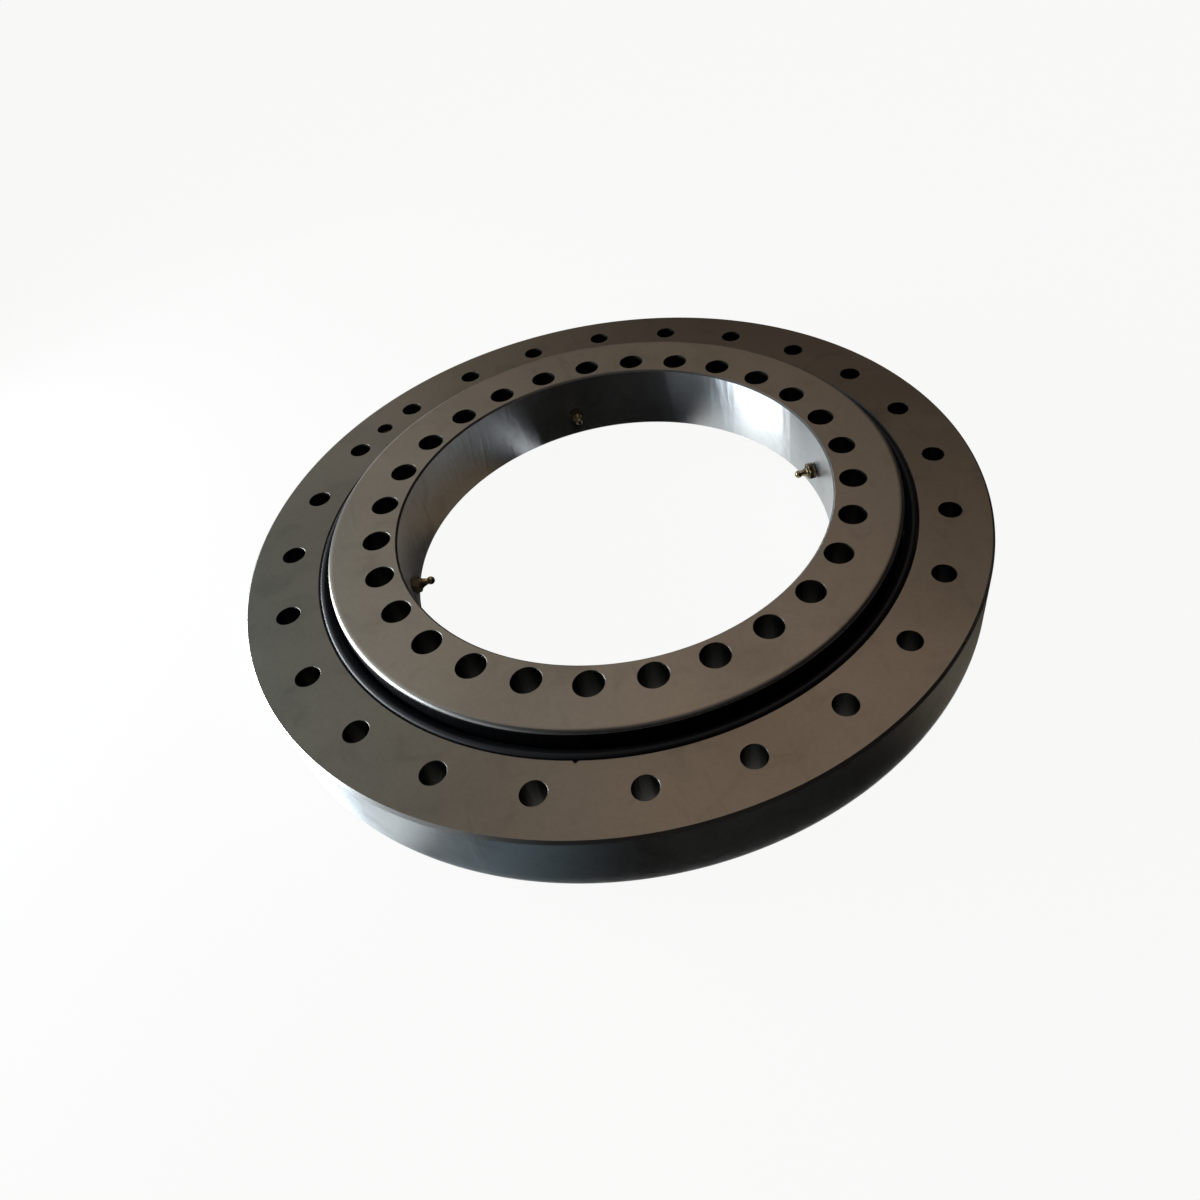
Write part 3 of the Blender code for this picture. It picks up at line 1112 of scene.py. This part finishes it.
@dataclass
class Seals:
    """A rubber seal in the step of each ring, whose lip runs against the other ring."""

    layout: Layout
    finishes: Finishes
    clearance: float = 0.3 * MM
    proud: float = 0.9 * MM
    body_width: float = 4.1 * MM
    lip_thickness: float = 1.5 * MM
    lip_clearance: float = 0.5 * MM
    roundings: tuple[tuple[int, float], ...] = (
        (4, 0.5 * MM),
        (3, 0.7 * MM),
        (2, 1.0 * MM),
        (1, 3.0 * MM),
        (0, 0.4 * MM),
    )
    round_steps: int = 6
    facets: int = 360
    corner_angle: float = 50

    def section(self) -> Section:
        """Draws the upper seal's section.

        Returns:
            A bead in the outer ring's step, and a lip that falls towards the inner ring.
        """
        size = self.layout
        back = size.step - self.clearance
        floor = size.outer_top - size.step_depth + self.clearance
        top = size.outer_top + self.proud
        lip = size.inner_land + self.lip_clearance
        front = back - self.body_width
        section = [(back, floor), (back, top), (front, top), (lip, floor + self.lip_thickness), (lip, floor)]
        for corner, reach in self.roundings:
            section = rounded(section, corner, reach, self.round_steps)
        return section

    def build(self) -> None:
        """Makes both seals."""
        upper = self.section()
        centre = 2 * self.layout.ball_circle, 2 * self.layout.middle
        lower = [(centre[0] - radius, centre[1] - height) for radius, height in upper]
        for name, section, body, node in (
            ("upper_seal_ring", upper, Body.FIXED, "upper_seal"),
            ("lower_seal_ring", lower, Body.TURNING, "lower_seal"),
        ):
            seal = place_piece(name, turned_mesh(name, section, self.facets))
            seal.data.materials.append(self.finishes.rubber)
            shade(seal.data, self.corner_angle)
            seat_piece(seal, body, "black_rubber", node)


class BallTree(GeometryTree):
    """Geometry Nodes that make one ball at its place in the row."""

    def __init__(self) -> None:
        """Builds the tree."""
        sockets = {"Radius": "NodeSocketFloat", "Place": "NodeSocketVector", "Steel": "NodeSocketMaterial"}
        super().__init__("ball", sockets)
        given = self.inputs
        values = {"Radius": given["Radius"], "Subdivisions": 5}
        ball = self.add("GeometryNodeMeshIcoSphere", values).outputs[0]
        smooth = self.add("GeometryNodeSetShadeSmooth", {0: ball}).outputs[0]
        values = {"Geometry": smooth, "Translation": given["Place"]}
        self.close(self.add("GeometryNodeTransform", values).outputs[0], given["Steel"])


class CageTree(GeometryTree):
    """Geometry Nodes that cut one round pocket for each ball through the cage's strip."""

    pocket_facets = 40

    def __init__(self) -> None:
        """Builds the tree."""
        super().__init__(
            "cage",
            {
                "Pockets": "NodeSocketInt",
                "Pocket": "NodeSocketFloat",
                "Start": "NodeSocketFloat",
                "Depth": "NodeSocketFloat",
                "Height": "NodeSocketFloat",
                "Steel": "NodeSocketMaterial",
            },
        )
        given = self.inputs
        drum = self.drum(given["Pocket"], given["Depth"], self.pocket_facets)
        values = {"Geometry": drum, "Rotation": (0, math.pi / 2, 0)}
        lying = self.add("GeometryNodeTransform", values).outputs[0]
        points = self.circle(given["Pockets"], given["Start"], 0.0, given["Height"])
        tools = self.add("GeometryNodeRealizeInstances", {0: self.instances(points, lying)}).outputs[0]
        self.close(self.cut(given["Geometry"], tools), given["Steel"])


@dataclass
class BallRow:
    """The balls and the cage that keeps them apart."""

    layout: Layout
    finishes: Finishes
    clearance: float = 0.8 * MM
    end_clearance: float = 0.5 * MM
    pocket_clearance: float = 0.3 * MM
    edge: float = 0.4 * MM
    facets_per_ball: int = 10

    def build(self) -> None:
        """Makes the cage and every ball."""
        size = self.layout
        inside, outside = size.inner_land + self.clearance, size.outer_land - self.clearance
        top = size.outer_top - size.step_depth - self.end_clearance
        bottom = 2 * size.middle - top
        section = [(inside, bottom), (outside, bottom), (outside, top), (inside, top)]
        for corner in (3, 2, 1, 0):
            section = rounded(section, corner, self.edge, 2)
        facets = self.facets_per_ball * size.ball_count
        strip = turned_mesh("cage", section, facets)
        strip.transform(Matrix.Rotation(math.pi / facets, 4, "Z"))
        cage = place_piece("ball_cage_strip", strip)
        values = {
            "Pockets": size.ball_count,
            "Pocket": size.ball_radius + self.pocket_clearance,
            "Start": inside - OVERCUT,
            "Depth": outside - inside + 2 * OVERCUT,
            "Height": size.middle,
            "Steel": self.finishes.cage,
        }
        CageTree().apply(cage, values)
        shade(cage.data)
        seat_piece(cage, Body.CAGE, "cage_steel", "ball_cage")

        tree = BallTree()
        for index in range(size.ball_count):
            name = f"ball_{index + 1:02d}"
            ball = place_piece(f"{name}_sphere", bpy.data.meshes.new(name))
            place = polar(size.ball_circle, index * math.tau / size.ball_count, size.middle)
            tree.apply(ball, {"Radius": size.ball_radius, "Place": place, "Steel": self.finishes.ball})
            seat_piece(ball, name, "ball_steel", name)


class NippleTree(GeometryTree):
    """Geometry Nodes that set a grease nipple at each port, pointing at the bearing's axis."""

    def __init__(self) -> None:
        """Builds the tree."""
        super().__init__(
            "grease_nipples",
            {
                "Nipples": "NodeSocketInt",
                "Seat": "NodeSocketFloat",
                "First": "NodeSocketFloat",
                "Height": "NodeSocketFloat",
                "Brass": "NodeSocketMaterial",
            },
        )
        given = self.inputs
        values = {"Geometry": given["Geometry"], "Rotation": (0, -math.pi / 2, 0)}
        lying = self.add("GeometryNodeTransform", values).outputs[0]
        points = self.circle(given["Nipples"], given["Seat"], given["First"], given["Height"])
        self.close(self.instances(points, lying), given["Brass"])


@dataclass
class GreaseNipples:
    """Four grease nipples in the bore."""

    layout: Layout
    finishes: Finishes
    standoff: float = 0.8 * MM
    thread: float = 5 * MM
    thread_length: float = 7 * MM
    thread_chamfer: float = 1 * MM
    collar: float = 4.6 * MM
    hex_across: float = 13 * MM
    hex_height: float = 6 * MM
    neck: float = 2.6 * MM
    neck_length: float = 5.8 * MM
    head: float = 3.35 * MM
    grease_hole: float = 0.9 * MM
    stem_facets: int = 40
    cone_facets: int = 60
    corner_angle: float = 32

    def stem_section(self) -> Section:
        """Draws the nipple's section without its hexagon.

        Returns:
            Thread, collar, neck and round head, along the nipple's own axis.
        """
        collar, rise = self.collar, self.hex_height
        neck_end = rise + self.neck_length
        head_centre = neck_end + self.head * 0.78
        dome = arc_points((0, head_centre), self.head, math.radians(-42), math.radians(74), 14)
        return [
            (0, -self.thread_length),
            (self.thread - self.thread_chamfer, -self.thread_length),
            (self.thread, -self.thread_length + self.thread_chamfer),
            (self.thread, 0.5 * MM),
            (self.thread, rise - 0.2 * MM),
            (collar, rise + 1.2 * MM),
            (collar - 0.6 * MM, rise + 1.7 * MM),
            (self.neck + 1.1 * MM, rise + 2.2 * MM),
            (self.neck + 0.8 * MM, rise + 3.0 * MM),
            (self.neck + 0.1 * MM, neck_end - 0.8 * MM),
            *dome,
            (self.grease_hole, head_centre + self.head * 0.96),
            (self.grease_hole, head_centre),
            (0, head_centre),
        ]

    def hexagon(self) -> bpy.types.Mesh:
        """Makes the hexagon.

        Returns:
            A closed mesh with its corners turned off at 30 degrees at both ends.
        """
        corner = self.hex_across / math.sqrt(3)
        flat = self.hex_across / 2
        fall = (corner - flat) * math.tan(math.radians(30))
        cone = [
            (0, 0),
            (flat - 0.2 * MM, 0),
            (corner + 1 * MM, fall + 1 * MM),
            (corner + 1 * MM, self.hex_height - fall - 1 * MM),
            (flat - 0.2 * MM, self.hex_height),
            (0, self.hex_height),
        ]
        bar = [(0, 0), (corner, 0), (corner, self.hex_height), (0, self.hex_height)]
        piece = place_piece("hexagon", turned_solid("hexagon", bar, 6))
        carved(piece, [turned_solid("corners", cone, self.cone_facets)], "INTERSECT")
        made = piece.data
        bpy.data.objects.remove(piece, do_unlink=True)
        return made

    def nipple(self) -> bpy.types.Object:
        """Makes one nipple.

        Returns:
            An object along Z, its hexagon joined to its stem.
        """
        stem = turned_solid("stem", self.stem_section(), self.stem_facets)
        return carved(place_piece("grease_nipples", stem), [self.hexagon()], "UNION")

    def build(self) -> None:
        """Makes the four nipples as one piece."""
        nipples = self.nipple()
        values = {
            "Nipples": self.layout.ports,
            "Seat": self.layout.bore - self.standoff,
            "First": self.layout.first_port(),
            "Height": self.layout.middle,
            "Brass": self.finishes.brass,
        }
        NippleTree().apply(nipples, values)
        shade(nipples.data, self.corner_angle)
        nodes = [f"grease_nipple_{index}" for index in range(1, self.layout.ports + 1)]
        seat_piece(nipples, Body.TURNING, "brass", *nodes)


@dataclass(frozen=True)
class Card:
    """A soft upright lamp that stands round the bearing."""

    name: str
    azimuth: float
    level: float
    distance: float
    width: float
    height: float
    radiance: float
    colour: Colour = (1.0, 1.0, 1.0)

    def frame(self) -> Matrix:
        """Works out where it stands.

        Returns:
            Its place, upright, with its front turned to the bearing's axis.
        """
        out = polar(1.0, math.radians(self.azimuth))
        turn = out.to_track_quat("Z", "Y").to_matrix().to_4x4()
        return Matrix.Translation(out * self.distance + Vector((0, 0, self.level))) @ turn

    def build(self) -> None:
        """Adds the lamp."""
        lamp = bpy.data.lights.new(self.name, "AREA")
        lamp.shape = "RECTANGLE"
        lamp.size, lamp.size_y = self.width, self.height
        lamp.energy = self.radiance * math.pi * self.width * self.height
        lamp.color = self.colour
        piece = bpy.data.objects.new(self.name, lamp)
        bpy.context.scene.collection.objects.link(piece)
        piece.matrix_world = self.frame()
        piece.visible_camera = False


@dataclass(frozen=True)
class Glow:
    """A soft bright patch of the room's walls and ceiling, seen from the bearing."""

    azimuth: float
    elevation: float
    spread: float
    radiance: float
    colour: Colour
    core: float = 0.15

    def build(self, nodes: Tree, way: bpy.types.NodeSocket) -> bpy.types.NodeSocket:
        """Draws the patch.

        Args:
            nodes: the world's tree.
            way: the direction that is looked in.

        Returns:
            The patch's light by direction.
        """
        level = math.cos(math.radians(self.elevation))
        centre = polar(level, math.radians(self.azimuth), math.sin(math.radians(self.elevation)))
        near = nodes.add("ShaderNodeVectorMath", {0: way, 1: centre}, operation="DOT_PRODUCT")
        rim, core = (math.cos(math.radians(self.spread * part)) for part in (1.0, self.core))
        share = nodes.ramp(near.outputs["Value"], rim, core, 0.0, self.radiance)
        return nodes.scaled(self.colour, share)


@dataclass(frozen=True)
class Sector:
    """A window in a floor card, by its azimuth and half its width in degrees; a tinted or narrow one paints a
    reflection on the steel.
    """

    azimuth: float
    half: float
    soft: float
    clear: Colour

    def build(self, nodes: Tree, azimuth: bpy.types.NodeSocket) -> bpy.types.NodeSocket:
        """Draws the window.

        Args:
            nodes: the card's tree.
            azimuth: the azimuth of the point that is looked at, in radians.

        Returns:
            How much of each colour passes there.
        """
        turn = nodes.math("SUBTRACT", azimuth, math.radians(self.azimuth))
        wrapped = nodes.add("ShaderNodeMath", {0: turn, 1: math.pi, 2: -math.pi}, operation="WRAP")
        off = nodes.math("ABSOLUTE", wrapped.outputs[0])
        edges = (math.radians(self.half - self.soft), math.radians(self.half + self.soft))
        share = nodes.ramp(off, *edges, 1.0, 0.0)
        return nodes.scaled(self.clear, share)


@dataclass(frozen=True)
class FloorCard:
    """A black card on the floor that only the steel's gloss shows, with clear windows in it: painted shade in
    the steel's reflections of the floor, and painted reflections in its tinted windows.
    """

    name: str
    inner: float
    outer: float
    sectors: tuple[Sector, ...]
    height: float = 0.4 * MM

    def material(self) -> bpy.types.Material:
        """Builds the card's finish.

        Returns:
            A black that lets the pale floor through in its windows.
        """
        nodes = SurfaceNodes(self.name)
        azimuth = nodes.math("ARCTAN2", nodes.y, nodes.x)
        passed = nodes.add("ShaderNodeCombineXYZ").outputs[0]
        for sector in self.sectors:
            values = {0: passed, 1: sector.build(nodes, azimuth)}
            passed = nodes.add("ShaderNodeVectorMath", values, operation="MAXIMUM").outputs[0]
        return nodes.output(nodes.add("ShaderNodeBsdfTransparent", {"Color": passed}))


@dataclass(frozen=True)
class Sleeve:
    """A black card that stands in the near side of the bore, and that only the far side's gloss shows:
    painted shade in the far side's reflection.
    """

    name: str = "card_sleeve"
    radius: float = 176 * MM
    start: float = -110.0
    end: float = -5.0
    low: float = 1 * MM
    high: float = 67 * MM
    steps: int = 48

    def material(self) -> bpy.types.Material:
        """Builds the card's finish.

        Returns:
            Black towards the axis, and clear from behind.
        """
        nodes = SurfaceNodes(self.name)
        behind = nodes.add("ShaderNodeNewGeometry").outputs["Backfacing"]
        passed = nodes.add("ShaderNodeCombineXYZ", {0: behind, 1: behind, 2: behind}).outputs[0]
        return nodes.output(nodes.add("ShaderNodeBsdfTransparent", {"Color": passed}))

    def mesh(self) -> bpy.types.Mesh:
        """Makes the card's strip.

        Returns:
            An upright strip that faces the axis.
        """
        points = []
        for step in range(self.steps + 1):
            azimuth = math.radians(self.start + (self.end - self.start) * step / self.steps)
            points += [polar(self.radius, azimuth, self.low), polar(self.radius, azimuth, self.high)]
        faces = [(2 * step, 2 * step + 1, 2 * step + 3, 2 * step + 2) for step in range(self.steps)]
        mesh = bpy.data.meshes.new(self.name)
        mesh.from_pydata(points, [], faces)
        mesh.materials.append(self.material())
        return mesh


@dataclass
class Studio:
    """A pale floor, soft lamps and the camera."""

    lamps: tuple[Card, ...] = (
        Card("window", 161.5, 0.15, 0.90, 0.48, 0.28, 56.0, (0.90, 0.96, 1.0)),
        Card("window_wing", -179, 0.15, 0.90, 0.22, 0.28, 17.0, (0.72, 0.86, 1.0)),
        Card("window_tail", -157, 0.15, 0.90, 0.42, 0.28, 1.8, (0.80, 0.90, 1.0)),
        Card("window_side", 112, 0.15, 0.90, 0.40, 0.22, 1.2, (0.97, 0.98, 1.0)),
    )
    glows: tuple[Glow, ...] = (
        Glow(64, 67, 34, 0.94, (1.0, 0.84, 0.76)),
        Glow(56, 56, 15, 0.84, (1.0, 0.95, 0.94)),
        Glow(94, 35, 16, 0.76, (1.0, 0.93, 0.84)),
        Glow(108, 46, 22, 0.14, (0.20, 0.80, 1.10)),
        Glow(128, 36, 32, 0.58, (0.55, 0.90, 1.20)),
        Glow(-85, 62, 32, 0.22, (1.0, 0.97, 0.94)),
    )
    # Painted shade and reflections: black cards seen only in the steel's gloss stand in for the floor's
    # shadow round and inside the rings; their tinted and narrow windows paint the dim, warm and streaked
    # reflections on the walls and in the bore.
    cards: tuple[FloorCard, ...] = (
        FloorCard(
            "card_outside",
            304 * MM,
            1.8,
            (
                Sector(149, 72, 5, (0.90, 0.97, 1.0)),
                Sector(-126, 2, 18, (0.20, 0.27, 0.31)),
                Sector(-50, 12, 10, (0.14, 0.12, 0.09)),
            ),
        ),
        FloorCard("card_core", 0.0, 112 * MM, ()),
        FloorCard(
            "card_inside",
            112 * MM,
            178 * MM,
            (
                Sector(0, 49, 5, (0.95, 0.99, 1.0)),
                Sector(102, 3, 2, (0.80, 0.86, 0.92)),
                Sector(128, 15, 6, (0.15, 0.108, 0.060)),
            ),
        ),
    )
    sleeve: Sleeve = Sleeve()
    darkness: Colour = (0.013, 0.013, 0.013)
    floor_reach: float = 40.0
    floor_colour: Colour = (0.86, 0.86, 0.85)
    floor_seen: Colour = (0.96, 0.965, 0.955)
    floor_share: float = 0.97
    sheet_facets: int = 96
    sensor: float = 36.0
    focal_length: float = 26.487
    lens_shift: tuple[float, float] = (-0.0762, -0.0418)
    camera_place: Vector = field(default_factory=lambda: Vector((-0.10953533, -0.5542091, 0.53541823)))
    camera_right: Vector = field(default_factory=lambda: Vector((0.9203956, -0.37887515, -0.09656897)))
    camera_up: Vector = field(default_factory=lambda: Vector((0.33015298, 0.62079771, 0.71106203)))

    def world(self) -> None:
        """A dark room with soft bright patches."""
        world = bpy.data.worlds.new("room")
        world.use_nodes = True
        nodes = Tree(world.node_tree)
        way = nodes.add("ShaderNodeTexCoord").outputs["Generated"]
        light = self.darkness
        for glow in self.glows:
            values = {0: light, 1: glow.build(nodes, way)}
            light = nodes.add("ShaderNodeVectorMath", values, operation="ADD").outputs[0]
        shader = nodes.add("ShaderNodeBackground", {"Color": light, "Strength": 1.0})
        nodes.add("ShaderNodeOutputWorld", {0: shader.outputs[0]})
        bpy.context.scene.world = world

    def floor(self) -> None:
        """A pale floor that shows almost white and keeps a faint shadow."""
        nodes = SurfaceNodes("pale_floor")
        path = nodes.add("ShaderNodeLightPath").outputs
        seen = nodes.math("MAXIMUM", path["Is Camera Ray"], path["Is Glossy Ray"])
        seen = nodes.math("MAXIMUM", seen, path["Is Transmission Ray"])
        share = nodes.math("MULTIPLY", seen, self.floor_share)
        matt = nodes.add("ShaderNodeBsdfDiffuse", {"Color": rgba(self.floor_colour)})
        white = nodes.add("ShaderNodeEmission", {"Color": rgba(self.floor_seen), "Strength": 1.0})
        blend = nodes.add("ShaderNodeMixShader", {0: share, 1: matt.outputs[0], 2: white.outputs[0]})
        self.sheet("floor", (0.0, self.floor_reach), nodes.output(blend), 0.0)

    def sheet(
        self, name: str, span: tuple[float, float], material: bpy.types.Material, height: float
    ) -> bpy.types.Object:
        """A level disc or ring about the axis, facing up.

        Args:
            name: the object's name.
            span: its inner and outer radii.
            material: its material.
            height: its height.

        Returns:
            The new object.
        """
        steps = self.sheet_facets
        turns = (math.tau * step / steps for step in range(steps))
        points = [polar(radius, turn, height) for turn in turns for radius in span]
        faces = []
        for step in range(steps):
            here, there = 2 * step, 2 * ((step + 1) % steps)
            faces.append((here, here + 1, there + 1, there))
        mesh = bpy.data.meshes.new(name)
        mesh.from_pydata(points, [], faces)
        if not span[0]:
            weld(mesh)
        mesh.materials.append(material)
        piece = place_piece(name, mesh)
        return piece

    def dark_cards(self) -> None:
        """Lays the cards that paint shade and reflections into the steel's gloss on the floor round and
        inside the rings, and stands one in the bore.
        """
        pieces = [
            self.sheet(card.name, (card.inner, card.outer), card.material(), card.height)
            for card in self.cards
        ]
        pieces.append(place_piece(self.sleeve.name, self.sleeve.mesh()))
        for piece in pieces:
            piece.visible_camera = False
            piece.visible_diffuse = False
            piece.visible_transmission = False
            piece.visible_shadow = False

    def camera(self) -> None:
        """The photograph's viewpoint."""
        lens = bpy.data.cameras.new("view")
        lens.sensor_fit, lens.sensor_width, lens.lens = "HORIZONTAL", self.sensor, self.focal_length
        lens.shift_x, lens.shift_y = self.lens_shift
        lens.clip_start, lens.clip_end = 0.01, 100.0
        piece = bpy.data.objects.new("view", lens)
        bpy.context.scene.collection.objects.link(piece)
        back = self.camera_right.cross(self.camera_up)
        turn = Matrix((self.camera_right, self.camera_up, back)).transposed().to_4x4()
        piece.matrix_world = Matrix.Translation(self.camera_place) @ turn
        bpy.context.scene.camera = piece

    def build(self) -> None:
        """Sets up the studio."""
        self.camera()
        self.world()
        self.floor()
        self.dark_cards()
        for lamp in self.lamps:
            lamp.build()


def main() -> None:
    """Builds the bearing's pieces in order, and then the studio."""
    bpy.context.scene.view_settings.view_transform = "Standard"
    layout = Layout()
    finishes = Finishes()
    tree = DrilledRing()
    OuterRing(
        layout,
        finishes,
        facets=360,
        holes=layout.outer_holes,
        circle=270 * MM,
        hole=9 * MM,
        hole_chamfer=0.35 * MM,
        first=0.0,
        low=0.0,
        high=layout.outer_top,
        wall=layout.rim,
        lands=(layout.outer_land, layout.step),
        race=(layout.outer_land, layout.outer_land + layout.race_depth),
        face=finishes.face,
    ).build(tree)
    InnerRing(
        layout,
        finishes,
        facets=336,
        holes=layout.inner_holes,
        circle=195.5 * MM,
        hole=11 * MM,
        hole_chamfer=0.35 * MM,
        first=layout.rest_turn,
        low=layout.inner_bottom,
        high=layout.inner_top,
        wall=layout.bore,
        lands=(layout.inner_land, 2 * layout.ball_circle - layout.step),
        race=(layout.inner_land - layout.race_depth, layout.inner_land),
        face=finishes.inner_face,
    ).build(tree)
    Seals(layout, finishes).build()
    BallRow(layout, finishes).build()
    GreaseNipples(layout, finishes).build()
    Studio().build()


if __name__ == "__main__":
    logging.basicConfig(level=logging.INFO, format="%(name)s: %(message)s")
    main()
